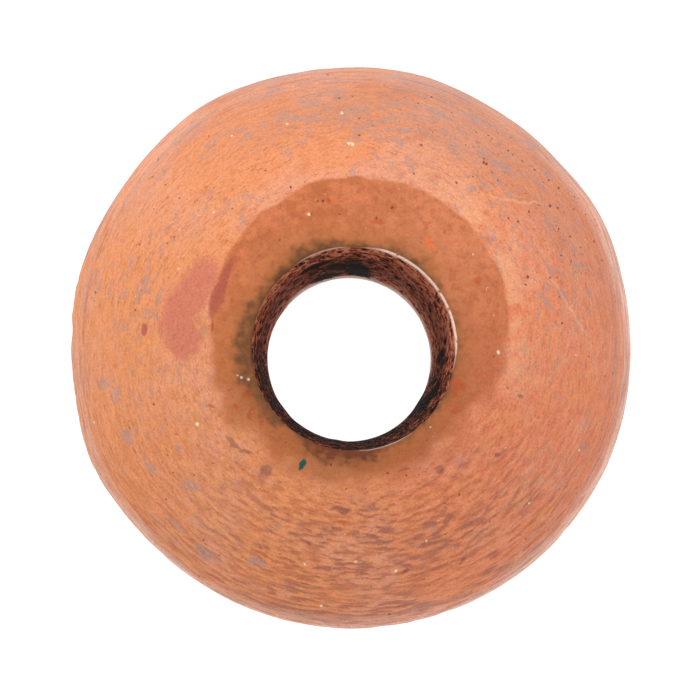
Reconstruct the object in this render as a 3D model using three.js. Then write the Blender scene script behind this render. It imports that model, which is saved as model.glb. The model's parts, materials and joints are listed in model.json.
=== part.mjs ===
// Clay spindle whorl: a squat bead of fired clay, shaped by hand and smoothed while it
// turned, with a wide hole through it for the spindle. It is worn flat round the hole above
// and stands on a small flat below. One solid. Millimetres, +Z up along the hole, with the
// origin on the axis of the body at the level of its foot.

import * as THREE from 'three';
import { mergeVertices } from 'three/addons/utils/BufferGeometryUtils.js';

// The body: two curved sides that meet at the belly.
const BODY_RADIUS = 15.0;
const BODY_HEIGHT = 18.0;
const BELLY_HEIGHT = 8.5; // where the body is widest
const SIDE_POWER = 1.85; // 2 is an ellipse, less leans towards a double cone
const UPPER_REACH = 10.9; // semi-height that the upper side's curve would close at
const LOWER_REACH = 10.4; // and the lower side's, below the belly

// The worn flat above. Its edge is crisp behind (+Y) and melts into the side in front.
const SHOULDER_RADIUS = 7.45;
const SHOULDER_OFFSET = new THREE.Vector2(0.3, 0.75);
const CRISP_ROUNDING = 0.35;
const SOFT_ROUNDING = 2.4;
const SOFT_BEARING = THREE.MathUtils.degToRad(262);

// The hole narrows a little downwards and sits off the body's axis.
const HOLE_TOP_RADIUS = 5.02;
const HOLE_FOOT_RADIUS = 4.6;
const HOLE_OFFSET = new THREE.Vector2(0.04, -0.41);
const LIP_ROUNDING = 0.3;

// The flat that it stands on, out to where the lower side meets it.
const FOOT_RADIUS = 8.0;
const FOOT_ROUNDING = 1.1;

// A flat's edge is rounded so far out over the side, and this share of it in over the flat.
const FLAT_SHARE = 0.6;

// Where fingers squeezed the soft clay out (+) or pressed it in (-) round the belly:
// bearing and spread in degrees, depth in millimetres.
const FINGER_MARKS = [
  { bearing: 27, spread: 9, depth: 0.15 },
  { bearing: 43, spread: 7, depth: -0.08 },
  { bearing: 60, spread: 8, depth: -0.11 },
  { bearing: 121, spread: 12, depth: 0.17 },
  { bearing: 147, spread: 12, depth: -0.09 },
  { bearing: 187, spread: 10, depth: -0.13 },
  { bearing: 205, spread: 8, depth: 0.13 },
  { bearing: 232, spread: 18, depth: -0.12 },
  { bearing: 325, spread: 30, depth: 0.11 },
];
const MARK_HEIGHT = 7.0; // how far above and below the belly a mark fades out

// How finely the surface is faceted.
const SPOKES = 96;
const ROWS = { hole: 7, lip: 2, flat: 3, shoulder: 4, upper: 11, lower: 11, foot: 3 };

/** Points of a straight stretch, without its last point. */
function straight(from, to, rows) {
  return new THREE.LineCurve(from, to).getPoints(rows).slice(0, -1);
}

/** Points of a rounded corner, without its last point. */
function rounded(from, corner, to, rows) {
  return new THREE.QuadraticBezierCurve(from, corner, to).getPoints(rows).slice(0, -1);
}

/** The side's point at an angle from the belly (0) to the axis (a quarter turn). */
function sideAt(angle, reach) {
  const exponent = 2 / SIDE_POWER;
  return new THREE.Vector2(
    BODY_RADIUS * Math.abs(Math.cos(angle)) ** exponent,
    BELLY_HEIGHT + reach * Math.abs(Math.sin(angle)) ** exponent,
  );
}

/** The angle at which the side has a given radius. */
function angleAtRadius(radius) {
  return Math.acos((radius / BODY_RADIUS) ** (SIDE_POWER / 2));
}

/** Points of the side between two radii, without the last point. */
function side(fromRadius, toRadius, reach, rows) {
  const from = angleAtRadius(fromRadius);
  const to = angleAtRadius(toRadius);
  const points = [];
  for (let row = 0; row < rows; row += 1) {
    points.push(sideAt(THREE.MathUtils.lerp(from, to, row / rows), reach));
  }
  return points;
}

/** The closed half section, as radius and height, up the outside and down the hole. */
function section(shoulderRounding) {
  const holeFoot = new THREE.Vector2(HOLE_FOOT_RADIUS, LIP_ROUNDING);
  const holeTop = new THREE.Vector2(HOLE_TOP_RADIUS, BODY_HEIGHT - LIP_ROUNDING);
  const topLip = new THREE.Vector2(HOLE_TOP_RADIUS + LIP_ROUNDING, BODY_HEIGHT);
  const footLip = new THREE.Vector2(HOLE_FOOT_RADIUS + LIP_ROUNDING, 0);

  const shoulder = sideAt(angleAtRadius(SHOULDER_RADIUS), UPPER_REACH);
  const inwards = (FLAT_SHARE * shoulderRounding) / (SHOULDER_RADIUS - topLip.x);
  const flatEnd = shoulder.clone().lerp(topLip, inwards);
  const sideStart = SHOULDER_RADIUS + shoulderRounding;
  const upperStart = sideAt(angleAtRadius(sideStart), UPPER_REACH);

  const footEdge = new THREE.Vector2(FOOT_RADIUS - FLAT_SHARE * FOOT_ROUNDING, 0);
  const footCorner = new THREE.Vector2(FOOT_RADIUS, 0);
  const lowerEnd = sideAt(angleAtRadius(FOOT_RADIUS + FOOT_ROUNDING), -LOWER_REACH);

  const upHoleAndDownOutside = [
    ...straight(holeFoot, holeTop, ROWS.hole),
    ...rounded(holeTop, new THREE.Vector2(HOLE_TOP_RADIUS, BODY_HEIGHT), topLip, ROWS.lip),
    ...straight(topLip, flatEnd, ROWS.flat),
    ...rounded(flatEnd, shoulder, upperStart, ROWS.shoulder),
    ...side(sideStart, BODY_RADIUS, UPPER_REACH, ROWS.upper),
    ...side(BODY_RADIUS, FOOT_RADIUS + FOOT_ROUNDING, -LOWER_REACH, ROWS.lower),
    ...rounded(lowerEnd, footCorner, footEdge, ROWS.foot),
    ...straight(footEdge, footLip, 1),
    ...rounded(footLip, new THREE.Vector2(HOLE_FOOT_RADIUS, 0), holeFoot, ROWS.lip),
    holeFoot,
  ];
  return upHoleAndDownOutside.reverse();
}

/** How far a bearing is from another, in degrees, the short way round. */
function bearingGap(a, b) {
  return THREE.MathUtils.euclideanModulo(a - b + 180, 360) - 180;
}

/** How far the finger marks move the outside at a bearing in degrees and a height. */
function fingerMark(bearing, height) {
  const fade = Math.exp(-(((height - BELLY_HEIGHT) / MARK_HEIGHT) ** 2));
  return FINGER_MARKS.reduce((sum, mark) => {
    const steps = bearingGap(bearing, mark.bearing) / mark.spread;
    return sum + mark.depth * fade * Math.exp(-(steps ** 2));
  }, 0);
}

/** How far off the body's axis the centre of a ring lies: the hole's, flat's or side's. */
function ringCentre(radius, height) {
  const shoulderHeight = sideAt(angleAtRadius(SHOULDER_RADIUS), UPPER_REACH).y;
  const outer = SHOULDER_OFFSET.clone().multiplyScalar(
    THREE.MathUtils.smoothstep(height, BELLY_HEIGHT, shoulderHeight),
  );
  const outwards = THREE.MathUtils.smoothstep(radius, HOLE_TOP_RADIUS, SHOULDER_RADIUS);
  return HOLE_OFFSET.clone().lerp(outer, outwards);
}

/** Turns the section round the axis, then gives it the off-centre rings and the marks. */
function whorlGeometry() {
  const crisp = section(CRISP_ROUNDING);
  const soft = section(SOFT_ROUNDING);
  const geometry = new THREE.LatheGeometry(crisp, SPOKES);
  const position = geometry.attributes.position;
  for (let index = 0; index < position.count; index += 1) {
    const row = index % crisp.length;
    const angle = (Math.floor(index / crisp.length) % SPOKES) * ((2 * Math.PI) / SPOKES);
    const softness = 0.5 + 0.5 * Math.cos(angle - SOFT_BEARING);
    const point = crisp[row].clone().lerp(soft[row], softness ** 1.5);
    const outside = point.x > SHOULDER_RADIUS;
    const mark = outside ? fingerMark(THREE.MathUtils.radToDeg(angle), point.y) : 0;
    const centre = ringCentre(point.x, point.y);
    position.setXYZ(
      index,
      centre.x + (point.x + mark) * Math.cos(angle),
      centre.y + (point.x + mark) * Math.sin(angle),
      point.y,
    );
  }
  geometry.deleteAttribute('normal');
  geometry.deleteAttribute('uv');
  const solid = mergeVertices(geometry, 1e-4);
  solid.computeVertexNormals();
  return solid;
}

const firedClay = new THREE.MeshStandardMaterial({
  color: 0xd08a62,
  roughness: 0.75,
  metalness: 0,
});

const whorl = new THREE.Mesh(whorlGeometry(), firedClay);
whorl.name = 'whorl';

const spindleWhorl = new THREE.Group();
spindleWhorl.add(whorl);

export default spindleWhorl;
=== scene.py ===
"""The finish of a clay spindle whorl: smoothed, low-fired earthenware, worn round its hole.

The body is drawn as half a section, spun round the hole, fitted to the construction model,
and then pressed and scored with displacement. Sizes are in millimetres unless said otherwise.
"""

import json
from collections import namedtuple
from math import atan2, cos, degrees, exp, hypot, pi, radians, sin

import bpy
from bpy.props import FloatProperty, FloatVectorProperty, IntProperty, PointerProperty
from mathutils import Euler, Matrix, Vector, noise

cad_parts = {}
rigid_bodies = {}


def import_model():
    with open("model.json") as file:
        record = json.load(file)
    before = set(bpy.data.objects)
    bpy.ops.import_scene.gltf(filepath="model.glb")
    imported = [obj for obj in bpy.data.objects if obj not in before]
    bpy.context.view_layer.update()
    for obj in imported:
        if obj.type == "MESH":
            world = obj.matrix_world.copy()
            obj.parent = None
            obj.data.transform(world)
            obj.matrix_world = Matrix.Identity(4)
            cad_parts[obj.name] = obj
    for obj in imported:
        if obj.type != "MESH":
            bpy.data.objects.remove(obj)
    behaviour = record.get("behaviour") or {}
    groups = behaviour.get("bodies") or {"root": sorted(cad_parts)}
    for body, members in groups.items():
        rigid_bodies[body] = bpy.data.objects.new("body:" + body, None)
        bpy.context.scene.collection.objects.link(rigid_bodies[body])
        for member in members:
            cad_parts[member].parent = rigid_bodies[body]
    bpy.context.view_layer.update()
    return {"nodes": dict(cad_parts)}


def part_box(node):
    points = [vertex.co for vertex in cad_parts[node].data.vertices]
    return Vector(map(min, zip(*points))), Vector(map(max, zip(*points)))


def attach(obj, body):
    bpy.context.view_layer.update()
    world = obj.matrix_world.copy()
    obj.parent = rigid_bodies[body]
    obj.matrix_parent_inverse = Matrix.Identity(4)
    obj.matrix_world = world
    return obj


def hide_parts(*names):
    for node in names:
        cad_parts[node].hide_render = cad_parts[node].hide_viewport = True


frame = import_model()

bl_info = {
    "name": "Clay Spindle Whorl",
    "version": (1, 0, 0),
    "blender": (4, 5, 0),
    "location": "3D View > Sidebar > Whorl",
    "description": "Models a hand-smoothed clay spindle whorl and its studio stage",
    "category": "Add Mesh",
}

LOW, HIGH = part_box("whorl")
MM = 0.001


# ------------------------------------ settings


def length(name, description, default, **limits):
    """A length property in metres, shown in the scene's unit."""
    return FloatProperty(
        name=name, description=description, default=default, unit="LENGTH",
        precision=5, **limits,
    )


def colour(name, description, default):
    """A colour property, in linear light."""
    return FloatVectorProperty(
        name=name, description=description, default=default, subtype="COLOR",
        size=3, min=0, max=1,
    )


class WhorlSizes(bpy.types.PropertyGroup):
    """Where the section's corners lie. The fit to the construction model does the rest."""

    belly_height: length("Belly height", "Height of the widest girth", 8.5 * MM)
    shoulder_radius: length("Shoulder radius", "Edge of the worn flat above", 7.45 * MM)
    shoulder_height: length("Shoulder height", "Height of that edge", 17.66 * MM)
    hole_top: length("Hole radius above", "Hole radius at the upper mouth", 5.02 * MM)
    hole_foot: length("Hole radius below", "Hole radius at the lower mouth", 4.6 * MM)
    hole_x: length("Hole offset X", "How far the hole sits off the axis", 0.04 * MM)
    hole_y: length("Hole offset Y", "How far the hole sits off the axis", -0.41 * MM)
    lip: length("Lip rounding", "Rounding of the hole's two mouths", 0.3 * MM)
    foot_radius: length("Foot radius", "Edge of the flat below", 8.0 * MM)
    spokes: IntProperty(
        name="Spokes", description="Steps round the hole", default=392, min=48, max=400
    )


class WhorlRelief(bpy.types.PropertyGroup):
    """How deep the hand work goes into the clay."""

    fill: length("Fullness", "Clay added first, to be pressed away again", 0.11 * MM)
    lumps: length("Lumps", "Unevenness left by the fingers", 0.11 * MM)
    bands: length("Bands", "Broad facets left by smoothing", 0.07 * MM)
    strokes: length("Strokes", "Fine grooves left by smoothing", 0.08 * MM)
    girth: length("Girth", "Long ridges round the belly", 0.06 * MM)
    dents: length("Dents", "Craters and lost grits", 0.13 * MM)
    ridges: length("Ridges", "Clay dragged up by a finger", 0.06 * MM)
    hole: length("Hole wall", "Roughness of the hole's wall", 0.16 * MM)


class WhorlColours(bpy.types.PropertyGroup):
    """Colours of the fired clay and of what lies on it."""

    orange: colour("Orange clay", "The main colour", (0.75, 0.268, 0.116))
    salmon: colour("Salmon clay", "Paler, pinker patches", (0.74, 0.305, 0.175))
    golden: colour("Golden clay", "Yellower patches", (0.74, 0.285, 0.112))
    red: colour("Reddish clay", "Redder patches", (0.79, 0.232, 0.122))
    # Rust also stands in as painted shade on the flat's front and in the front grooves.
    rust: colour("Rust", "Dark streaks and worn spots", (0.44, 0.115, 0.045))
    ochre: colour("Ochre", "The worn flat round the hole", (0.50, 0.146, 0.052))
    worn_orange: colour("Worn orange", "Brighter places on the flat", (0.62, 0.186, 0.074))
    film: colour("Film", "Violet-grey film left by firing", (0.44, 0.245, 0.200))
    # Pale clay beside the flat's edge: partly the clay's own colour, partly painted highlight.
    pale: colour("Pale clay", "Beside the crisp edge of the flat", (0.86, 0.40, 0.22))
    smoked: colour("Smoked clay", "Duller clay behind", (0.44, 0.195, 0.130))
    # Painted rim light: pale lines along the belly's edge, standing in for light from the table
    # and the tent.
    painted_rim_light: colour("Chalky wear", "Pale lines rubbed round the belly", (0.88, 0.58, 0.48))
    # Plum: film in the grooves, which also serves as painted shade in them.
    plum: colour("Plum", "Film lying in the grooves", (0.35, 0.135, 0.105))
    pit: colour("Pit", "Dark holes and dark grit", (0.14, 0.030, 0.014))
    cream: colour("Cream", "Pale grit", (0.90, 0.62, 0.38))
    brown: colour("Brown", "Faint soil round the hole", (0.36, 0.125, 0.036))
    grime: colour("Grime", "Dirt round the hole's lip", (0.150, 0.062, 0.026))
    # The lip's pale line is partly wear and partly painted highlight.
    lip: colour("Worn lip", "Chalky wear on the lip", (0.90, 0.67, 0.56))
    # A painted glow: the light table's light on the hole's lower lip.
    foot: colour("Worn foot", "Pale wear at the foot of the hole", (0.98, 0.74, 0.64))
    hole: colour("Hole wall", "Soil stain in the hole", (0.52, 0.110, 0.040))
    # Pale places in the hole: partly worn clay, partly painted highlight on the gouges' crests.
    wall_wear_and_highlight: colour("Worn wall", "Rubbed places in the hole", (0.90, 0.35, 0.21))
    # This black serves the wall's real stains, and painted shade on its near side and in its
    # gouges.
    soot_and_shade: colour("Soot", "Black stain in the hole", (0.012, 0.006, 0.005))
    pink_patch: colour("Pink patch", "The patch on the left", (0.58, 0.170, 0.110))
    crescent: colour("Crescent", "The dark sliver beside it", (0.38, 0.088, 0.062))
    grey_clot: colour("Grey clots", "Single clots of film", (0.42, 0.255, 0.225))
    plum_spot: colour("Plum spots", "Single dark spots in front", (0.22, 0.085, 0.075))
    red_grit: colour("Red grit", "Soft red grit in the flat", (0.46, 0.06, 0.02))
    crater: colour("Crater", "Floor of a lost grit's crater", (0.42, 0.10, 0.075))
    ridge: colour("Ridge", "Clay dragged up by a finger", (0.84, 0.42, 0.25))
    teal: colour("Teal", "The blue-green fleck", (0.003, 0.085, 0.085))
    dark_pit: colour("Dark pits", "The single deep pits", (0.19, 0.045, 0.022))
    orange_grit: colour("Orange grit", "Bright grit in the flat", (0.80, 0.15, 0.04))
    cream_grit: colour("Cream grit", "Single pale grits", (0.98, 0.78, 0.50))
    chalk_grit: colour("Chalk grit", "White grits by the lip", (0.62, 0.62, 0.58))


class WhorlStage(bpy.types.PropertyGroup):
    """The studio: a light table, a tent of soft light and a camera nearly overhead."""

    lean_front: FloatProperty(
        name="Lean to the front", description="Camera's tilt off the vertical towards -Y",
        default=radians(2.0), subtype="ANGLE",
    )
    lean_left: FloatProperty(
        name="Lean to the left", description="Camera's tilt off the vertical towards -X",
        default=radians(0.76), subtype="ANGLE",
    )
    aim_x: length("Aim X", "Where the camera points, at the belly's height", -0.01 * MM)
    aim_y: length("Aim Y", "Where the camera points, at the belly's height", -0.144 * MM)
    distance: length("Camera distance", "From the middle of the belly", 129.5 * MM)
    field: length("Field of view", "Width seen at the belly", 37.39 * MM)
    key: FloatProperty(name="Key light", description="Softbox power in watts", default=0.46)
    tent: FloatProperty(name="Tent", description="Brightness of the tent's walls", default=1.08)
    tent_foot: FloatProperty(
        name="Tent foot", description="Brightness of the tent near the table", default=0.5
    )
    tent_top: FloatProperty(
        name="Tent top", description="Brightness of the opening overhead", default=0.42
    )
    table: FloatProperty(name="Light table", description="Glow of the table", default=1.02)


# ------------------------------------ marks


# One mark on the upper side, as seen from above, in millimetres and degrees: its bearing
# round the body's axis, its distance from that axis, its width, its length (a round mark has
# none) and how far its length is turned from pointing outwards.
Mark = namedtuple("Mark", "bearing reach width length turn", defaults=(0, 0))

FLAT_MIDDLE = (0.3, 0.75)  # of the worn flat round the hole
LOWEST_MARK = 8 * MM  # the marks are on the upper side, from the belly up

CREAM_GRITS = (
    Mark(208, 8.8, 0.19), Mark(90, 9.9, 0.17), Mark(91, 9.95, 0.17), Mark(355.5, 7.25, 0.17),
    Mark(92.5, 11.65, 0.14), Mark(106.5, 11.55, 0.12), Mark(109, 6.65, 0.14),
    Mark(258, 11.5, 0.13), Mark(271, 11.1, 0.14), Mark(263.5, 13.6, 0.13),
    Mark(281, 11.8, 0.15), Mark(290.5, 10.7, 0.13), Mark(318, 12.2, 0.11),
    Mark(335, 12.9, 0.12), Mark(137, 9.5, 0.11), Mark(120, 12.2, 0.1),
)
CHALK_GRITS = (
    Mark(198.5, 5.8, 0.13), Mark(200.5, 5.5, 0.12), Mark(197, 5.95, 0.09),
    Mark(312, 5.75, 0.08),
)
ORANGE_GRITS = (
    Mark(52.5, 6.2, 0.4), Mark(50, 6.05, 0.3), Mark(46, 6.9, 0.16), Mark(63, 5.9, 0.14),
    Mark(345, 6.8, 0.16), Mark(78, 6.6, 0.14), Mark(141, 7.1, 0.2), Mark(97, 7.0, 0.2),
)
DARK_PITS = (
    Mark(53, 11.3, 0.17), Mark(53.8, 11.25, 0.12), Mark(51, 12.7, 0.12), Mark(49.5, 12.7, 0.09),
    Mark(72, 13.4, 0.11), Mark(55.5, 12.7, 0.09), Mark(39.7, 13.2, 0.11), Mark(37, 13.4, 0.09),
    Mark(34.7, 12.3, 0.15), Mark(33.3, 12.6, 0.09), Mark(36.4, 11.1, 0.12), Mark(38.3, 10, 0.1),
    Mark(36, 10.3, 0.12), Mark(28.8, 12, 0.09), Mark(26, 12.4, 0.09), Mark(29, 13.9, 0.09),
    Mark(33.5, 13.9, 0.08), Mark(22.8, 12.7, 0.09), Mark(18.5, 13.7, 0.1), Mark(48, 11, 0.08),
    Mark(93, 12.55, 0.12), Mark(88, 10.4, 0.1), Mark(102, 7.1, 0.14), Mark(104, 7.15, 0.11),
    Mark(73.5, 6.9, 0.12), Mark(79, 6.2, 0.12),
    Mark(197.5, 10.5, 0.09), Mark(168.5, 13.5, 0.1), Mark(260, 6.25, 0.14), Mark(285, 6.8, 0.11),
    Mark(220, 12.4, 0.11), Mark(216, 11.2, 0.09), Mark(233, 12.6, 0.09), Mark(238, 12.8, 0.09),
    Mark(117, 9.6, 0.09), Mark(140, 11.4, 0.09), Mark(155, 11.9, 0.09),
)
TEAL_FLECK = (Mark(247.9, 6.64, 0.3, 0.62, -6),)
RED_GRITS = (
    Mark(215, 6.3, 0.24, 0.5, 35), Mark(338, 5.7, 0.5, 0.6), Mark(333, 5.7, 0.5, 0.3),
    Mark(99.5, 7.1, 0.2, 0.34), Mark(292, 6.9, 0.5, 0.16), Mark(326, 6.1, 0.4, 0.3),
    Mark(209, 6.6, 0.3, 0.3), Mark(222, 6.1, 0.24, 0.4), Mark(161.3, 6.26, 0.24, 0.24),
    Mark(72.5, 7, 0.34, 0.3), Mark(78, 6, 0.5, 0.26), Mark(50, 7, 0.2, 0.24),
    Mark(26, 6.9, 0.4, 0.2),
    Mark(204.6, 7.67, 0.2, 0.5, -50), Mark(201.7, 6.4, 0.16, 0.3), Mark(206.7, 5.8, 0.2, 0.3),
)
PLUM_SPOTS = (
    Mark(283.5, 11.95, 0.5, 0.22, 14), Mark(297, 12.45, 0.4, 0.18), Mark(304.5, 7.8, 0.42, 0.4),
    Mark(266, 8.45, 1, 0.24), Mark(257, 10.35, 0.6, 0.2), Mark(298.5, 10.1, 0.6, 0.26),
    Mark(342, 8.9, 0.26, 0.34), Mark(322, 9.2, 0.36, 0.28), Mark(236, 7.86, 0.5, 0.8, -36),
    Mark(220.3, 7.85, 0.28, 0.9, -80), Mark(226, 7.7, 0.2, 0.7, -60),
)
GREY_OVALS = (
    Mark(51.7, 9.75, 0.7, 0.4, 50), Mark(12.3, 9.9, 1.0, 0.4, 24), Mark(22.5, 12.3, 0.8, 0.24),
    Mark(49.5, 11.8, 1.1, 0.5), Mark(48, 14, 1.0, 0.5), Mark(40.6, 13.4, 0.8, 0.4, 30),
    Mark(67, 12.5, 0.9, 0.34), Mark(62, 13.3, 1.2, 0.3), Mark(43, 10.9, 0.5, 0.4),
    Mark(36.5, 8.7, 0.4, 0.4), Mark(86, 10.7, 1.0, 0.26), Mark(76, 11, 0.8, 0.28),
    Mark(90, 8.4, 0.4, 0.6), Mark(80, 12.4, 1.4, 0.3), Mark(94, 13, 0.9, 0.24),
    Mark(19, 12.3, 0.26, 0.7, -20), Mark(189.5, 12.9, 0.5, 0.7), Mark(192.4, 12.3, 0.9, 0.5),
    Mark(202.7, 12.4, 0.5, 1.0, -90), Mark(212, 12, 0.4, 0.8, -80),
    Mark(222, 10.8, 0.6, 0.9, -70), Mark(211.4, 10.3, 0.3, 0.6, -90),
    Mark(235, 13.2, 0.5, 1.4, -90), Mark(246.7, 12.2, 0.4, 1.0, -90),
    Mark(226, 13, 0.3, 1.2, -90),
)
CRATERS = (Mark(176.5, 10.5, 0.62, 0.36),)
PINK_PATCH = (
    Mark(161.5, 8.2, 1.7, 3.3, -102), Mark(171.5, 8.75, 1.9, 3.3, -90), Mark(180, 8.45, 1.8, 1.9),
)
CRESCENT = (
    Mark(157.2, 7.05, 0.46, 2.9, -88), Mark(162, 7.05, 0.72, 1.6, -92),
    Mark(174.1, 7, 0.14, 0.6, -86),
)
PALE_RIDGES = (Mark(9, 11.1, 0.16, 4.2, -66), Mark(41, 10.9, 0.14, 3.2, -46))
CHIPS = (Mark(176.5, 14.75, 1.1, 0.5),)

# One black stain on the hole's wall: its bearing, the height of its middle, its width round
# the hole and how tall it is.
Stain = namedtuple("Stain", "bearing height width tall")
WALL_RADIUS = 4.8
WALL_TWIST = -0.06  # how far round the hole its gouges run for each millimetre up
SOOT_STAINS = (
    Stain(86, 6.5, 1.5, 11), Stain(97, 8, 1.6, 5), Stain(107, 3.5, 1.7, 5), Stain(113, 12, 2, 2.5),
    Stain(328, 5, 1.1, 8), Stain(338, 10, 0.8, 5), Stain(359, 9, 0.7, 5), Stain(7, 12, 0.4, 2),
)


def seen_from_above(mark):
    """The mark's middle, in millimetres, at height 0."""
    bearing = radians(mark.bearing)
    return Vector((cos(bearing), sin(bearing), 0)) * mark.reach


def directions(mark):
    """The directions of the mark's length and width."""
    turned = radians(mark.bearing + mark.turn)
    return Vector((cos(turned), sin(turned), 0)), Vector((-sin(turned), cos(turned), 0))


def mark_depth(marks, place):
    """How deep a place on the upper side lies within any of the marks, from 0 to 1."""
    deepest = 0
    for mark in marks:
        offset = place / MM - seen_from_above(mark)
        reach = mark.length or mark.width
        if abs(offset.x) + abs(offset.y) > (reach + mark.width) * 1.5:
            continue
        along, across = directions(mark)
        steps = hypot(offset.dot(along) / (reach / 2), offset.dot(across) / (mark.width / 2))
        deepest = max(deepest, exp(-steps * steps * 0.9))
    return deepest


# ------------------------------------ modelling


# How finely each stretch of the section is divided.
Rows = namedtuple("Rows", "foot lower upper flat lip hole")
ROWS = Rows(foot=7, lower=58, upper=134, flat=24, lip=4, hole=19)

# How high the corners that pull the sides' curves outwards lie: a share of the belly's height
# for the lower side and of the shoulder's for the upper.
LOWER_CORNER = 0.47
UPPER_CORNER = 0.8
WELD = 0.002 * MM  # points closer than this are merged


def deselect_all():
    """Leaves nothing selected, so that the next operator acts only on its own object."""
    for item in bpy.context.view_layer.objects:
        item.select_set(False)


def choose(item):
    """Makes one object the selected and active one."""
    deselect_all()
    item.select_set(True)
    bpy.context.view_layer.objects.active = item
    return item


def finish_modifier(item, name, kind, **settings):
    """Adds a modifier with its settings and applies it."""
    modifier = item.modifiers.new(name, kind)
    for setting, value in settings.items():
        setattr(modifier, setting, value)
    choose(item)
    bpy.ops.object.modifier_apply(modifier=modifier.name)


def straight(start, end, rows):
    """Points of a straight stretch of the section, without its last point."""
    return [start.lerp(end, row / rows) for row in range(rows)]


def rounded(start, corner, end, rows):
    """Points of a curved stretch that leaves and arrives towards a corner, likewise."""
    return [
        start.lerp(corner, row / rows).lerp(corner.lerp(end, row / rows), row / rows)
        for row in range(rows)
    ]


def section_points(sizes):
    """The closed half section in the XZ plane: along the foot, up the side, down the hole."""
    def point(radius, height):
        return Vector((radius, 0, height))

    radius = (HIGH.x - LOW.x) / 2
    belly = point(radius, sizes.belly_height)
    shoulder = point(sizes.shoulder_radius, sizes.shoulder_height)
    foot_edge = point(sizes.foot_radius, LOW.z)
    foot_lip = point(sizes.hole_foot + sizes.lip, LOW.z)
    hole_foot = point(sizes.hole_foot, LOW.z + sizes.lip)
    hole_top = point(sizes.hole_top, HIGH.z - sizes.lip)
    top_lip = point(sizes.hole_top + sizes.lip, HIGH.z)
    lower_corner = point(radius, LOWER_CORNER * sizes.belly_height)
    upper_corner = point(radius, UPPER_CORNER * sizes.shoulder_height)
    return [
        *straight(foot_lip, foot_edge, ROWS.foot),
        *rounded(foot_edge, lower_corner, belly, ROWS.lower),
        *rounded(belly, upper_corner, shoulder, ROWS.upper),
        *straight(shoulder, top_lip, ROWS.flat),
        *rounded(top_lip, point(sizes.hole_top, HIGH.z), hole_top, ROWS.lip),
        *straight(hole_top, hole_foot, ROWS.hole),
        *rounded(hole_foot, point(sizes.hole_foot, LOW.z), foot_lip, ROWS.lip),
        foot_lip,
    ]


def draw_section(points):
    """Draws the section as a chain of edges, each extruded from the last."""
    deselect_all()
    bpy.ops.mesh.primitive_plane_add(size=MM, location=points[0])
    piece = bpy.context.object
    bpy.ops.object.transform_apply(location=True)
    bpy.ops.object.mode_set(mode="EDIT")
    bpy.ops.mesh.select_all(action="SELECT")
    bpy.ops.mesh.merge(type="CENTER")
    for start, end in zip(points, points[1:]):
        bpy.ops.mesh.extrude_region_move(TRANSFORM_OT_translate={"value": end - start})
    bpy.ops.object.mode_set(mode="OBJECT")
    return piece


def measure_along(mesh, points):
    """Gives each point of the section its distance along it, which spinning keeps."""
    run = [0.0]
    for start, end in zip(points, points[1:]):
        run.append(run[-1] + (end - start).length)
    mesh.attributes.new("along", "FLOAT", "POINT").data.foreach_set("value", run)


def spin_section(piece, axis_point, spokes):
    """Spins the section once round the hole's axis and closes the shell."""
    choose(piece)
    bpy.ops.object.mode_set(mode="EDIT")
    bpy.ops.mesh.select_all(action="SELECT")
    bpy.ops.mesh.spin(steps=spokes, angle=2 * pi, center=axis_point, axis=(0, 0, 1))
    bpy.ops.mesh.select_all(action="SELECT")
    bpy.ops.mesh.remove_doubles(threshold=WELD)
    bpy.ops.mesh.normals_make_consistent(inside=False)
    bpy.ops.object.mode_set(mode="OBJECT")


def smooth_guide():
    """A merged and smoothed copy of the construction solid, to fit the fine mesh to."""
    guide = frame["nodes"]["whorl"].copy()
    guide.data = guide.data.copy()
    guide.name = "guide"
    bpy.context.scene.collection.objects.link(guide)
    choose(guide)
    bpy.ops.object.mode_set(mode="EDIT")
    bpy.ops.mesh.select_all(action="SELECT")
    bpy.ops.mesh.remove_doubles(threshold=WELD)
    bpy.ops.mesh.tris_convert_to_quads()
    bpy.ops.object.mode_set(mode="OBJECT")
    finish_modifier(guide, "Smooth", "SUBSURF", levels=2, render_levels=2)
    return guide


def fit_to_construction(piece):
    """Lays the fine mesh on the construction solid's true outline."""
    guide = smooth_guide()
    finish_modifier(
        piece, "Fit", "SHRINKWRAP", target=guide, wrap_method="NEAREST_SURFACEPOINT",
        offset=0.0,
    )
    bpy.data.meshes.remove(guide.data)


# ------------------------------------ relief


# One point of the mesh: its place, its bearing in degrees and as a direction, its run along
# the section, and how far it belongs to the outer side, the hole's wall and the worn flat.
Spot = namedtuple("Spot", "place bearing east north along side hole flat")

STROKE_RADIUS = 12.0  # where a stroke has its full length, in millimetres from the axis


def ramp(value, start, end):
    """Rises smoothly from 0 at start to 1 at end."""
    share = min(max((value - start) / (end - start), 0.0), 1.0)
    return share * share * (3 - 2 * share)


def spots(mesh, sizes):
    """Where each point of the mesh lies: its bearing, its run along the section, its zone."""
    run = [0.0] * len(mesh.vertices)
    mesh.attributes["along"].data.foreach_get("value", run)
    found = []
    for vertex, along in zip(mesh.vertices, run):
        place = vertex.co.copy()
        x, y = place.x - sizes.hole_x, place.y - sizes.hole_y
        radius = max(hypot(x, y), MM)
        foot = ramp(place.z, 0.05 * MM, 1.2 * MM)
        hole = 1 - ramp(radius, sizes.hole_top + 0.05 * MM, sizes.hole_top + 0.35 * MM)
        flat = 1 - ramp(radius, sizes.shoulder_radius - 1.0 * MM, sizes.shoulder_radius + 1.0 * MM)
        flat *= ramp(place.z, sizes.belly_height, sizes.shoulder_height - 2 * MM)
        found.append(Spot(
            place, degrees(atan2(y, x)) % 360, x / radius, y / radius, along,
            foot * (1 - hole), foot * hole, flat,
        ))
    return found


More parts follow.
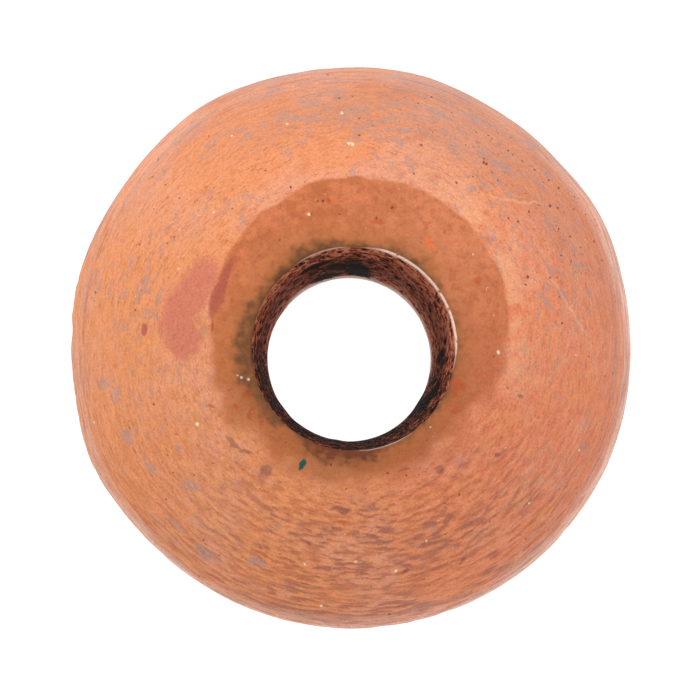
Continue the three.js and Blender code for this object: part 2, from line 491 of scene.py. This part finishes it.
def turned_noise(spot, stroke, spacing, shift=0.0):
    """Noise drawn out along the turning direction: strokes so long, so far apart, in mm."""
    turns = STROKE_RADIUS / stroke
    return noise.noise(Vector((
        spot.east * turns, spot.north * turns, (spot.along / MM + shift) / spacing
    )))


def front_weight(spot):
    """Strokes are deepest in front (-Y) and faint behind."""
    return 0.62 - 0.38 * sin(radians(spot.bearing + 20))


def lump_depth(spot):
    """Unevenness that fingers leave in soft clay."""
    place = spot.place / MM
    rough = noise.noise(place / 4.6) + 0.45 * noise.noise(place / 2.1) + 0.2 * noise.noise(place)
    girth = exp(-((place.z - 8.5) / 3.0) ** 2)
    return spot.side * (0.5 + 0.5 * rough * (1 - 0.5 * girth)) * (1 - 0.45 * spot.flat)


def band_depth(spot):
    """Broad facets of a smoothing tool that went round and round."""
    drift = 0.5 * turned_noise(spot, 9.0, 4.0)
    facets = turned_noise(spot, 5.0, 1.15, drift)
    return spot.side * (0.5 + 0.5 * facets) * (1 - 0.8 * spot.flat)


def stroke_depth(spot):
    """Scalloped grooves left as the whorl was smoothed, like ripples in front."""
    drift = 0.3 * turned_noise(spot, 4.0, 2.0) + 0.12 * turned_noise(spot, 0.9, 1.2)
    coarse = turned_noise(spot, 0.9, 0.24, drift)
    fine = turned_noise(spot, 0.6, 0.16, drift)
    groove = ramp(coarse + 0.7 * fine, -0.35, 0.45)
    return spot.side * groove * front_weight(spot) * (1 - 0.8 * spot.flat)


def girth_depth(spot):
    """Long low ridges round the belly."""
    height = spot.place.z / MM
    near = exp(-((height - 9.5) / 2.6) ** 2)
    return near * spot.side * (0.5 + 0.5 * turned_noise(spot, 9.0, 0.62))


def added_depth(spot):
    """Where clay is added before the rest is pressed in, so that the outline keeps its size."""
    return max(spot.side * (1 - 0.6 * spot.flat), 0.8 * spot.hole)


def dent_depth(spot):
    """Craters where grits fell out, the deepest pits, and a chip on the belly."""
    if spot.place.z < LOWEST_MARK:
        return 0.0
    crater = mark_depth(CRATERS, spot.place)
    pits = 0.4 * mark_depth(DARK_PITS, spot.place)
    chips = mark_depth(CHIPS, spot.place) * (1 - ramp(spot.place.z, 10.2 * MM, 11.4 * MM))
    return spot.side * max(crater, pits, chips)


def ridge_height(spot):
    """Low ridges of dragged clay, which stand out from the surface."""
    if spot.place.z < LOWEST_MARK:
        return 0.0
    return spot.side * mark_depth(PALE_RIDGES, spot.place)


def hole_depth(spot):
    """The hole's rough wall, scraped by whatever was pushed through the wet clay."""
    place = spot.place / MM
    rough = noise.noise(place / 1.7) + 0.6 * noise.noise(place / 0.8)
    inside = ramp(place.z, 0.2, 1.4) * ramp(HIGH.z / MM - place.z, 0.2, 1.4)
    return spot.hole * (0.5 + 0.5 * rough * inside)


def press(piece, name, deep, weights):
    """Moves the surface inwards (or outwards, if deep is negative) by weight."""
    group = piece.vertex_groups.new(name=name)
    for index, weight in enumerate(weights):
        if weight > 0:
            group.add([index], min(weight, 1.0), "REPLACE")
    finish_modifier(
        piece, name, "DISPLACE", strength=-deep, mid_level=0, vertex_group=name,
        direction="NORMAL",
    )
    piece.vertex_groups.remove(piece.vertex_groups[name])


def press_relief(piece, sizes, relief):
    """Presses every kind of hand work into the smooth body, and keeps the grooves' depth."""
    places = spots(piece.data, sizes)
    grooves = [stroke_depth(spot) for spot in places]
    press(piece, "fill", -relief.fill, [added_depth(spot) for spot in places])
    press(piece, "lumps", relief.lumps, [lump_depth(spot) for spot in places])
    press(piece, "bands", relief.bands, [band_depth(spot) for spot in places])
    press(piece, "strokes", relief.strokes, grooves)
    press(piece, "girth", relief.girth, [girth_depth(spot) for spot in places])
    press(piece, "dents", relief.dents, [dent_depth(spot) for spot in places])
    press(piece, "ridges", -relief.ridges, [ridge_height(spot) for spot in places])
    press(piece, "hole", relief.hole, [hole_depth(spot) for spot in places])
    piece.data.attributes.new("groove", "FLOAT", "POINT").data.foreach_set("value", grooves)


# ------------------------------------ shading


class Value:
    """A number on a shader socket. Arithmetic on it adds Math nodes."""

    def __init__(self, shading, socket):
        self.shading = shading
        self.socket = socket

    def math(self, operation, *others):
        values = dict(enumerate((self, *others)))
        return self.shading.number("ShaderNodeMath", {"operation": operation}, values)

    def __add__(self, other):
        return self.math("ADD", other)

    def __sub__(self, other):
        return self.math("SUBTRACT", other)

    def __rsub__(self, other):
        return self.shading.number(
            "ShaderNodeMath", {"operation": "SUBTRACT"}, {0: other, 1: self}
        )

    def __mul__(self, other):
        return self.math("MULTIPLY", other)

    def __truediv__(self, other):
        return self.math("DIVIDE", other)

    def __pow__(self, other):
        return self.math("POWER", other)

    __radd__ = __add__
    __rmul__ = __mul__

    def max(self, other):
        return self.math("MAXIMUM", other)

    def min(self, other):
        return self.math("MINIMUM", other)

    def rise(self, start, end):
        """0 below start, 1 above end, and smooth between (or falling, if end is lower)."""
        low, high, first, last = (start, end, 0, 1) if start < end else (end, start, 1, 0)
        return self.shading.number(
            "ShaderNodeMapRange", {"interpolation_type": "SMOOTHSTEP"},
            {"Value": self, "From Min": low, "From Max": high, "To Min": first, "To Max": last},
            "Result",
        )


class Shading:
    """Builds the nodes of one material."""

    def __init__(self, name):
        self.material = bpy.data.materials.new(name)
        self.material.use_nodes = True
        self.tree = self.material.node_tree
        self.tree.nodes.clear()

    def node(self, kind, settings=None, inputs=None):
        """One node: its settings first, then the values or links of its sockets."""
        made = self.tree.nodes.new(kind)
        for setting, value in (settings or {}).items():
            setattr(made, setting, value)
        for key, value in (inputs or {}).items():
            socket = made.inputs[key]
            if isinstance(value, Value):
                self.tree.links.new(value.socket, socket)
            else:
                socket.default_value = value
        return made

    def number(self, kind, settings, inputs, output=0):
        return Value(self, self.node(kind, settings, inputs).outputs[output])

    def vector(self, operation, *inputs, output="Vector"):
        values = dict(enumerate(inputs[:2]))
        if operation == "SCALE":
            values = {0: inputs[0], "Scale": inputs[1]}
        return self.number("ShaderNodeVectorMath", {"operation": operation}, values, output)

    def mix(self, factor, first, second, blend="MIX"):
        """Mixes two colours, given as links or linear colours."""
        sockets = {0: factor}
        for key, value in ((6, first), (7, second)):
            sockets[key] = value if isinstance(value, Value) else (*value, 1)
        return self.number(
            "ShaderNodeMix", {"data_type": "RGBA", "blend_type": blend}, sockets, 2
        )

    def noise(self, where, scale, detail=2.0, rough=0.5, output="Fac"):
        return self.number(
            "ShaderNodeTexNoise", {},
            {"Vector": where, "Scale": scale, "Detail": detail, "Roughness": rough}, output,
        )

    def show(self, surface):
        """Links a surface to the material's output, and gives the finished material."""
        output = self.node("ShaderNodeOutputMaterial")
        self.tree.links.new(surface.outputs[0], output.inputs[0])
        return self.material


class ClayPlaces:
    """Where a shaded point lies on the whorl, in millimetres and in masks from 0 to 1."""

    def __init__(self, shading, sizes):
        self.shading = shading
        self.hole_top = sizes.hole_top / MM
        here = shading.number("ShaderNodeTexCoord", {}, {}, "Object")
        self.place = shading.vector("SCALE", here, 1 / MM)
        off_hole = shading.vector(
            "SUBTRACT", self.place, (sizes.hole_x / MM, sizes.hole_y / MM, 0)
        )
        parts = shading.node("ShaderNodeSeparateXYZ", {}, {0: off_hole})
        x, y, self.height = (Value(shading, socket) for socket in parts.outputs)
        self.radius = (x * x + y * y) ** 0.5
        self.east = x / self.radius
        self.north = y / self.radius
        self.along = self.attribute("along") / MM
        self.groove = self.attribute("groove")
        self.upper = self.height.rise(7.5, 9.5)
        self.rim = self.radius.rise(12.8, 14.4) * self.height.rise(6.0, 9.0)
        self.front = self.towards(270).rise(-0.35, 0.75)
        self.behind = self.towards(70).rise(-0.2, 0.85)
        middle = (FLAT_MIDDLE[0], FLAT_MIDDLE[1], 0)
        off_flat = shading.vector("SUBTRACT", self.place, middle)
        off_flat = shading.vector("MULTIPLY", off_flat, (1, 1, 0))
        self.flat_reach = shading.vector("LENGTH", off_flat, output="Value")
        self.flat = self.worn_flat(sizes)
        self.drift = self.wander()

    def attribute(self, name):
        """A value kept on the mesh."""
        return self.shading.number("ShaderNodeAttribute", {"attribute_name": name}, {}, "Fac")

    def towards(self, bearing):
        """From -1 to 1: how far the point's bearing agrees with the given one."""
        return self.east * cos(radians(bearing)) + self.north * sin(radians(bearing))

    def worn_flat(self, sizes):
        """The worn flat round the hole. Its edge is crisp behind and fades in front."""
        uneven = self.shading.noise(self.place, 0.7, 1)
        reach = self.flat_reach + (uneven - 0.5) * (0.5 + 2.2 * self.front)
        fade = 0.2 + 1.5 * self.front
        inwards = (sizes.shoulder_radius / MM - 0.04 + 0.1 * self.front - reach) / fade
        return inwards.rise(-0.5, 0.5) * self.upper

    def wander(self):
        """How far the smoothing strokes stray up and down, in millimetres."""
        slow = self.noise(3.4, 2.2, detail=1)
        quick = self.noise(1.0, 1.4, detail=0)
        return slow * 0.55 + quick * (0.1 + 0.08 * self.front)

    def turned(self, stroke, spacing, drift=0.0):
        """Coordinates in which noise is drawn out along the turning direction."""
        turns = STROKE_RADIUS / stroke
        inputs = {
            0: self.east * turns,
            1: self.north * turns,
            2: (self.along + drift) / spacing,
        }
        return self.shading.number("ShaderNodeCombineXYZ", {}, inputs)

    def noise(self, stroke, spacing, drift=0.0, detail=2, rough=0.55):
        """Noise in strokes so long and so far apart, in millimetres."""
        return self.shading.noise(self.turned(stroke, spacing, drift), 1.0, detail, rough)

    def cells(self, where, scale):
        """Scattered points: how far the nearest one is, in cells, and two numbers it drew."""
        shading = self.shading
        node = shading.node("ShaderNodeTexVoronoi", {}, {"Vector": where, "Scale": scale})
        distance = Value(shading, node.outputs["Distance"])
        numbers = Value(shading, node.outputs["Color"])
        drawn = shading.node("ShaderNodeSeparateColor", {}, {0: numbers}).outputs
        return distance, Value(shading, drawn[0]), Value(shading, drawn[1])

    def dots(self, dots, ragged):
        """A mask of all the given round marks, with edges made ragged by a noise vector."""
        shading = self.shading
        place = shading.vector("ADD", self.place, ragged)
        place = shading.vector("MULTIPLY", place, (1, 1, 0))
        nearest = None
        for dot in dots:
            steps = shading.vector("DISTANCE", place, tuple(seen_from_above(dot)), output="Value")
            steps = steps / dot.width
            nearest = steps if nearest is None else nearest.min(steps)
        return nearest.rise(0.7, 0.3) * self.upper

    def ovals(self, ovals, ragged, soft=0.4):
        """A mask of all the given oval marks, likewise."""
        shading = self.shading
        place = shading.vector("ADD", self.place, ragged)
        nearest = None
        for oval in ovals:
            along, across = directions(oval)
            along, across = tuple(along / (oval.length / 2)), tuple(across / (oval.width / 2))
            offset = shading.vector("SUBTRACT", place, tuple(seen_from_above(oval)))
            far = shading.vector("DOT_PRODUCT", offset, along, output="Value")
            wide = shading.vector("DOT_PRODUCT", offset, across, output="Value")
            steps = far.math("MULTIPLY_ADD", far, wide * wide)
            nearest = steps if nearest is None else nearest.min(steps)
        return nearest.rise(1 + soft, 1 - soft) * self.upper


def ragged_edges(shading, place, scale, reach):
    """A small shift of place, different everywhere, that makes a mark's edge ragged."""
    shift = shading.noise(place, scale, 1, output="Color")
    shift = shading.vector("SUBTRACT", shift, (0.5, 0.5, 0.5))
    return shading.vector("SCALE", shift, reach)


def body_colour(shading, clay, colours, noises):
    """Orange clay, paler and redder in places, streaked by smoothing; ochre on the flat. A pale
    band beside the flat's edge is partly painted highlight; the flat's front gets painted shade.
    """
    off_flat = 1 - clay.flat
    body = shading.mix(noises.mottle.rise(0.4, 0.6), colours.orange, colours.salmon)
    golden = clay.towards(200).rise(-0.1, 1.0) * noises.blotch.rise(0.3, 0.6)
    body = shading.mix(golden * 0.75, body, colours.golden)
    reddish = clay.towards(345).rise(0.1, 1.0) * (noises.blotch + noises.streak).rise(0.75, 1.1)
    body = shading.mix(reddish * 0.7, body, colours.red)
    body = shading.mix(noises.blotch.rise(0.55, 0.8) * 0.35, body, colours.rust)
    body = shading.mix(noises.streak.rise(0.5, 0.3) * 0.4 * off_flat, body, colours.salmon)
    body = shading.mix(noises.streak.rise(0.52, 0.74) * 0.3 * off_flat, body, colours.rust)
    nicks = noises.fine.rise(0.6, 0.7) * 0.38 + noises.fine.rise(0.5, 0.66) * 0.2
    body = shading.mix(nicks * off_flat, body, colours.rust)
    # Partly pale clay, partly painted highlight: a pale band just outside the flat's edge, towards
    # the upper right.
    pale = clay.flat_reach.rise(7.35, 7.75) * clay.flat_reach.rise(9.6, 7.9)
    pale = pale * clay.towards(28).rise(0.55, 1.0) * noises.blotch.rise(0.62, 0.4)
    body = shading.mix(pale * 0.55, body, colours.pale)
    smoked = clay.towards(66).rise(0.3, 0.95) * clay.radius.rise(10.2, 12.0)
    body = shading.mix(smoked * (0.12 + 0.5 * noises.blotch), body, colours.smoked)
    flat_tone = shading.mix(noises.blotch.rise(0.42, 0.6), colours.ochre, colours.worn_orange)
    flat_tone = shading.mix(clay.towards(32).rise(0.3, 1.0) * 0.2, flat_tone, colours.salmon)
    # Painted shade: the flat darkened towards the front, the side away from the key light.
    flat_tone = shading.mix(clay.towards(290).rise(-0.5, 0.6) * 0.52, flat_tone, colours.rust)
    flat_tone = shading.mix(noises.spots.rise(0.48, 0.68) * 0.5, flat_tone, colours.rust)
    flat_tone = shading.mix(noises.grain.rise(0.62, 0.72) * 0.6, flat_tone, colours.rust)
    return shading.mix(clay.flat, body, flat_tone)


def filmed(shading, clay, colours, noises, body):
    """Violet-grey film left by firing, in clots behind and in the grooves in front, with painted
    shade in the grooves and a painted rim light on the belly's edge.
    """
    clot = clay.noise(0.85, 0.5, clay.drift, 3, 0.62)
    cloud = clay.noise(4.2, 2.6, 0.0, 2)
    thick = clay.towards(78).rise(0.55, 1.0) * clay.radius.rise(9.5, 11.5) * 0.06
    cover = (cloud + thick).rise(0.42, 0.6) * (1 - clay.front * 0.3) * (1 - clay.flat * 0.9)
    film = (clot + thick).rise(0.5, 0.66) * cover
    body = shading.mix(film * 0.66, body, colours.film)
    middle = clay.towards(280).rise(0.45, 0.96)
    # Painted shade: the grooves darkened by their depth, in front and in the middle.
    body = shading.mix(clay.groove * (clay.front + middle) * 0.24, body, colours.rust)
    # Plum in the grooves: partly film lying in them, partly painted shade.
    groove_film_and_shade = (clay.groove * 0.55 + noises.streak * 0.9).rise(0.62, 0.92) * middle
    groove_film_and_shade = groove_film_and_shade * (cloud + noises.blotch).rise(0.88, 1.12) * (1 - clay.flat * 0.8)
    body = shading.mix(groove_film_and_shade * 0.58, body, colours.plum)
    line = clay.noise(5.0, 0.5, clay.drift, 2, 0.65)
    veil = line.rise(0.47, 0.58) * clay.rim * (0.35 + 0.65 * cloud.rise(0.35, 0.55))
    body = shading.mix(veil * 0.62, body, colours.film)
    thread = clay.noise(3.4, 0.27, clay.drift, 2, 0.6)
    body = shading.mix(thread.rise(0.5, 0.36) * clay.rim * 0.42, body, colours.rust)
    # Painted rim light: pale lines along the belly's edge, strongest towards the lower right.
    rim_light_share = clay.radius.rise(13.7, 14.7) * (0.45 + 0.55 * thread.rise(0.42, 0.58)) * clay.rim
    rim_light_share = rim_light_share * (0.15 + 0.85 * clay.towards(302).rise(-0.6, 0.5))
    return shading.mix(rim_light_share * 0.85, body, colours.painted_rim_light)


def pits_and_grits(shading, clay, colours, noises, body):
    """Small dark holes, thickest behind, and specks of pale and dark grit."""
    shaken = shading.vector("ADD", clay.place, ragged_edges(shading, clay.place, 9.0, 0.22))
    distance, drawn, _ = clay.cells(shaken, 1.7)
    size = drawn.rise(0.3, 1.0) * 0.17 * (0.35 + 0.65 * clay.behind) * (1 - 0.5 * clay.flat)
    size = size * noises.mottle.rise(0.42, 0.58)
    pits = (size - distance).rise(-0.02, 0.03)
    around = (size + 0.1 - distance).rise(0.0, 0.1) * size.rise(0.02, 0.06) - pits
    body = shading.mix(around.max(0) * 0.3, body, colours.salmon)
    body = shading.mix(pits * 0.8, body, colours.pit)
    distance, drawn, girth = clay.cells(shaken, 3.0)
    speck = (0.22 * girth - distance).rise(0.0, 0.05)
    pocked = 0.2 + 0.55 * clay.towards(44).rise(0.78, 1.0) * clay.radius.rise(9.5, 11.0)
    body = shading.mix(speck * drawn.rise(0.94, 0.96) * 0.6, body, colours.cream)
    return shading.mix(speck * (pocked - drawn).rise(0.0, 0.04) * 0.7, body, colours.pit)


def marked(shading, clay, colours, body):
    """The marks that lie in places of their own."""
    loose = ragged_edges(shading, clay.place, 1.3, 0.6)
    close = ragged_edges(shading, clay.place, 5.0, 0.12)
    for marks, tone, strength, edge, soft in (
        (PINK_PATCH, colours.pink_patch, 0.85, loose, 0.6),
        (CRESCENT, colours.crescent, 0.8, close, 0.5),
        (GREY_OVALS, colours.grey_clot, 0.6, loose, 0.8),
        (PLUM_SPOTS, colours.plum_spot, 0.6, loose, 0.7),
        (RED_GRITS, colours.red_grit, 0.55, loose, 0.8),
        (CRATERS, colours.crater, 0.8, close, 0.4),
        (PALE_RIDGES, colours.ridge, 0.4, loose, 0.9),
        (TEAL_FLECK, colours.teal, 0.97, close, 0.3),
    ):
        body = shading.mix(clay.ovals(marks, edge, soft) * strength, body, tone)
    for marks, tone, strength in (
        (DARK_PITS, colours.dark_pit, 0.88),
        (ORANGE_GRITS, colours.orange_grit, 0.62),
        (CREAM_GRITS, colours.cream_grit, 0.75),
        (CHALK_GRITS, colours.chalk_grit, 0.7),
    ):
        body = shading.mix(clay.dots(marks, close) * strength, body, tone)
    return body


def soiled_mouth(shading, clay, colours, noises, body):
    """Grime round the hole's mouth, and a pale line on its lip that is partly wear and partly
    painted highlight. Gives the grime's mask too.
    """
    outwards = clay.radius - clay.hole_top
    high = clay.height.rise(16.6, 17.3)
    wide = clay.towards(188).rise(0.7, 1.0) * 0.62 + clay.towards(122).rise(0.85, 1.0) * 0.34
    wide = wide + clay.towards(262).rise(0.86, 1.0) * 0.42 + clay.towards(58).rise(0.9, 1.0) * 0.22
    wide = wide * (0.3 + 1.4 * noises.blotch)
    ragged = (noises.blotch - 0.5) * 1.5 + (noises.spots - 0.5) * 1.1
    ragged = ragged + (noises.grain - 0.5) * 0.8
    brown = (wide * 1.6 + 0.8 + 0.4 * clay.front + ragged - outwards).rise(-0.8, 0.9) * high
    body = shading.mix(brown * 0.5, body, colours.brown)
    grime = (wide + 0.18 + ragged * 0.5 - outwards).rise(-0.4, 0.42) * high
    body = shading.mix((grime * (0.4 + 0.85 * noises.spots)).min(0.92), body, colours.grime)
    strip = (0.5 + (noises.spots - 0.5) * 0.9 - outwards).rise(-0.15, 0.25)
    strip = strip * clay.towards(264).rise(0.88, 0.99) * high
    body = shading.mix(strip * 0.7, body, colours.pit)
    # The lip's pale line: partly wear, partly painted highlight, strongest at the upper right.
    lit = clay.towards(38).rise(0.6, 0.88) + clay.towards(108).rise(0.93, 1.0) * 0.5
    lit = lit + clay.towards(288).rise(0.93, 1.0) * 0.35
    lit = lit * (noises.spots * 0.8 + noises.blotch * 0.5).rise(0.36, 0.62)
    lip_wear_and_highlight = (0.03 + 0.11 * lit - outwards).rise(-0.03, 0.03) * clay.height.rise(17.45, 17.6)
    return shading.mix(lip_wear_and_highlight * (0.12 + lit).min(1.0), body, colours.lip), grime


def stained(shading, on_wall, rough):
    """A mask of the black stains on the hole's wall."""
    deepest = None
    for stain in SOOT_STAINS:
        bearing = radians(stain.bearing)
        twist = stain.height * WALL_TWIST
        middle = (
            cos(bearing) * WALL_RADIUS - sin(bearing) * twist,
            sin(bearing) * WALL_RADIUS + cos(bearing) * twist,
            stain.height,
        )
        steps = shading.vector("SUBTRACT", on_wall, middle)
        scale = (2 / stain.width, 2 / stain.width, 2 / stain.tall)
        steps = shading.vector("MULTIPLY", steps, scale)
        depth = 1 - shading.vector("LENGTH", steps, output="Value")
        deepest = depth if deepest is None else deepest.max(depth)
    return (deepest + rough).rise(-0.1, 0.3)


def hole_wall(shading, clay, colours, body):
    """The hole's soiled wall, gouged and blackened, with painted shade on its near side, painted
    light at two bearings and a painted glow at its far foot; the gouges' dark hollows and pale
    crests are partly painted shade and highlight. Gives its gouges and its mask too.
    """
    twist = clay.height * WALL_TWIST
    on_wall = shading.number(
        "ShaderNodeCombineXYZ", {},
        {0: clay.east * WALL_RADIUS - clay.north * twist,
         1: clay.north * WALL_RADIUS + clay.east * twist, 2: clay.height},
    )
    gouge_place = shading.vector("MULTIPLY", on_wall, (2.3, 2.3, 1.1))
    gouge = shading.noise(gouge_place, 1.0, 3, 0.78)
    stain = shading.noise(clay.place, 0.5, 2, 0.65)
    # Painted shade and light by bearing: darker towards the near side and at 338 degrees, lighter
    # at 30 and 146 degrees; it shifts the black stains and the pale crests below.
    shade = clay.towards(255).rise(-0.25, 0.85) * 0.08 - clay.towards(30).rise(0.6, 1.0) * 0.04
    shade = shade - clay.towards(146).rise(0.85, 1.0) * 0.03
    shade = shade + clay.towards(338).rise(0.88, 1.0) * 0.03
    worked = gouge - shade
    # The gouges: black stain with painted shade in their hollows, worn clay with painted highlight
    # on their crests.
    wall = shading.mix(worked.rise(0.49, 0.44), colours.hole, colours.soot_and_shade)
    wall = shading.mix(worked.rise(0.52, 0.58) * 0.85, wall, colours.wall_wear_and_highlight)
    sooty = stained(shading, on_wall, (stain - 0.5) * 1.6 + (gouge - 0.5) * 2.6)
    wall = shading.mix(sooty * 0.98, wall, colours.soot_and_shade)
    # Painted shade: the near side of the wall darkened with the black stain colour.
    wall = shading.mix(clay.towards(255).rise(-0.1, 0.9) * 0.4, wall, colours.soot_and_shade)
    # Painted glow: the pale foot of the far wall stands in for the light table's light on the
    # lower lip.
    painted_foot_glow = (clay.height + (gouge - 0.5) * 4.5).rise(2.7, 2.0)
    painted_foot_glow = painted_foot_glow * clay.towards(66).rise(0.1, 0.5)
    wall = shading.mix(painted_foot_glow * 0.95, wall, colours.foot)
    foot = clay.height + (gouge - 0.5) * 3.0
    inside = clay.radius.rise(clay.hole_top + 0.1, clay.hole_top + 0.03)
    inside = inside * foot.rise(0.1, 0.5) * clay.height.rise(17.85, 17.6)
    return shading.mix(inside, body, wall), gouge, inside


Noises = namedtuple("Noises", "mottle blotch spots grain streak fine")


def clay_material(sizes, colours):
    """Smoothed orange earthenware with film, streaks, pits, grits, and a soiled hole."""
    shading = Shading("fired_clay")
    clay = ClayPlaces(shading, sizes)
    noises = Noises(
        mottle=shading.noise(clay.place, 0.22, 2, 0.55),
        blotch=shading.noise(clay.place, 0.9, 2, 0.6),
        spots=shading.noise(clay.place, 2.6, 1, 0.5),
        grain=shading.noise(clay.place, 8.5, 1, 0.6),
        streak=clay.noise(0.9, 0.22, clay.drift, 2, 0.6),
        fine=clay.noise(0.5, 0.12, clay.drift, 2, 0.65),
    )
    body = body_colour(shading, clay, colours, noises)
    body = filmed(shading, clay, colours, noises, body)
    body = pits_and_grits(shading, clay, colours, noises, body)
    body, grime = soiled_mouth(shading, clay, colours, noises, body)
    body = marked(shading, clay, colours, body)
    body, gouge, inside = hole_wall(shading, clay, colours, body)
    body = shading.vector("SCALE", body, 0.72 + 0.56 * noises.grain)

    # Relief finer than the mesh, in metres.
    smooth = 1 - clay.flat * 0.65
    height = noises.fine * smooth * (-0.035 * MM) + noises.streak * smooth * (-0.045 * MM)
    height = height + noises.grain * (0.018 * MM)
    height = height + gouge * inside * (0.3 * MM)
    normal = shading.number(
        "ShaderNodeBump", {}, {"Strength": 1.0, "Distance": 1.0, "Height": height}, "Normal"
    )
    roughness = 0.55 + 0.14 * noises.grain + 0.15 * grime + 0.35 * inside
    surface = shading.node(
        "ShaderNodeBsdfPrincipled", {},
        {"Base Color": body, "Roughness": roughness, "Specular IOR Level": 0.13,
         "Normal": normal},
    )
    return shading.show(surface)


# ------------------------------------ operators


class WHORL_OT_body(bpy.types.Operator):
    """Model the clay body and give it its finish"""

    bl_idname = "whorl.body"
    bl_label = "Clay Body"

    def execute(self, context):
        sizes = context.scene.whorl_sizes
        points = section_points(sizes)
        piece = draw_section(points)
        piece.name = "clay_body"
        piece.data.name = "clay_body"
        measure_along(piece.data, points)
        spin_section(piece, (sizes.hole_x, sizes.hole_y, 0), sizes.spokes)
        fit_to_construction(piece)
        press_relief(piece, sizes, context.scene.whorl_relief)
        choose(piece)
        bpy.ops.object.shade_smooth()
        piece.data.materials.append(clay_material(sizes, context.scene.whorl_colours))
        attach(piece, "root")
        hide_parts("whorl")
        return {"FINISHED"}


def table_material(glow):
    """Glowing white glass."""
    shading = Shading("light_table")
    surface = shading.node(
        "ShaderNodeBsdfPrincipled", {},
        {"Base Color": (0.15, 0.15, 0.15, 1), "Roughness": 0.9,
         "Emission Color": (1, 1, 1, 1), "Emission Strength": glow},
    )
    return shading.show(surface)


def light_tent(scene, stage):
    """A world that is bright at the sides, and darker low down and straight overhead."""
    world = bpy.data.worlds.new("tent")
    scene.world = world
    world.use_nodes = True
    nodes, links = world.node_tree.nodes, world.node_tree.links
    where = nodes.new("ShaderNodeTexCoord")
    parts = nodes.new("ShaderNodeSeparateXYZ")
    fade = nodes.new("ShaderNodeValToRGB")
    stops = ((0.0, stage.tent_foot), (0.4, stage.tent), (0.72, stage.tent), (0.97, stage.tent_top))
    found = fade.color_ramp.elements
    for index, (height, brightness) in enumerate(stops):
        stop = found[index] if index < len(found) else found.new(height)
        stop.position = height
        stop.color = (brightness, brightness, brightness, 1)
    links.new(where.outputs["Generated"], parts.inputs[0])
    links.new(parts.outputs["Z"], fade.inputs["Fac"])
    links.new(fade.outputs["Color"], nodes["Background"].inputs["Color"])


def softbox(name, watts, bearing, elevation, distance, size):
    """A square area light that faces the whorl from a bearing and a height."""
    bearing, elevation = radians(bearing), radians(elevation)
    outwards = Vector((
        cos(bearing) * cos(elevation), sin(bearing) * cos(elevation), sin(elevation)
    ))
    bpy.ops.object.light_add(type="AREA", location=outwards * distance)
    lamp = bpy.context.object
    lamp.name = name
    lamp.rotation_euler = outwards.to_track_quat("Z", "Y").to_euler()
    lamp.data.size = size
    lamp.data.energy = watts


SENSOR_WIDTH = 36.0  # of the camera, in millimetres


class WHORL_OT_stage(bpy.types.Operator):
    """Set up the light table, the lights and the camera"""

    bl_idname = "whorl.stage"
    bl_label = "Stage"

    def execute(self, context):
        scene = context.scene
        stage = scene.whorl_stage
        deselect_all()
        bpy.ops.mesh.primitive_plane_add(size=2.0, location=(0, 0, LOW.z))
        table = bpy.context.object
        table.name = "light_table"
        bpy.ops.object.transform_apply(location=True)
        table.data.materials.append(table_material(stage.table))
        light_tent(scene, stage)
        softbox("key", stage.key, bearing=110, elevation=45, distance=0.35, size=0.12)

        aim = Vector((stage.aim_x, stage.aim_y, scene.whorl_sizes.belly_height))
        turn = Euler((stage.lean_front, -stage.lean_left, 0))
        back = turn.to_matrix() @ Vector((0, 0, 1))
        bpy.ops.object.camera_add(location=aim + back * stage.distance, rotation=turn)
        camera = bpy.context.object
        camera.data.sensor_width = SENSOR_WIDTH
        camera.data.lens = SENSOR_WIDTH * stage.distance / stage.field
        camera.data.clip_start = 10 * MM
        camera.data.clip_end = 10
        scene.camera = camera
        scene.view_settings.view_transform = "Standard"
        return {"FINISHED"}


class WHORL_PT_panel(bpy.types.Panel):
    """The whorl's settings and its two steps"""

    bl_idname = "WHORL_PT_panel"
    bl_label = "Clay Spindle Whorl"
    bl_space_type = "VIEW_3D"
    bl_region_type = "UI"
    bl_category = "Whorl"

    def draw(self, context):
        for group, operator in (
            ("whorl_sizes", None), ("whorl_relief", None),
            ("whorl_colours", WHORL_OT_body), ("whorl_stage", WHORL_OT_stage),
        ):
            settings = getattr(context.scene, group)
            box = self.layout.box()
            for name in settings.bl_rna.properties.keys():
                if name not in {"rna_type", "name"}:
                    box.prop(settings, name)
            if operator:
                box.operator(operator.bl_idname)


GROUPS = {
    "whorl_sizes": WhorlSizes,
    "whorl_relief": WhorlRelief,
    "whorl_colours": WhorlColours,
    "whorl_stage": WhorlStage,
}
CLASSES = (*GROUPS.values(), WHORL_OT_body, WHORL_OT_stage, WHORL_PT_panel)


def register():
    for kind in CLASSES:
        bpy.utils.register_class(kind)
    for name, kind in GROUPS.items():
        setattr(bpy.types.Scene, name, PointerProperty(type=kind))


def unregister():
    for name in GROUPS:
        delattr(bpy.types.Scene, name)
    for kind in reversed(CLASSES):
        bpy.utils.unregister_class(kind)


def main():
    register()
    bpy.ops.whorl.stage()
    bpy.ops.whorl.body()


if __name__ == "__main__":
    main()
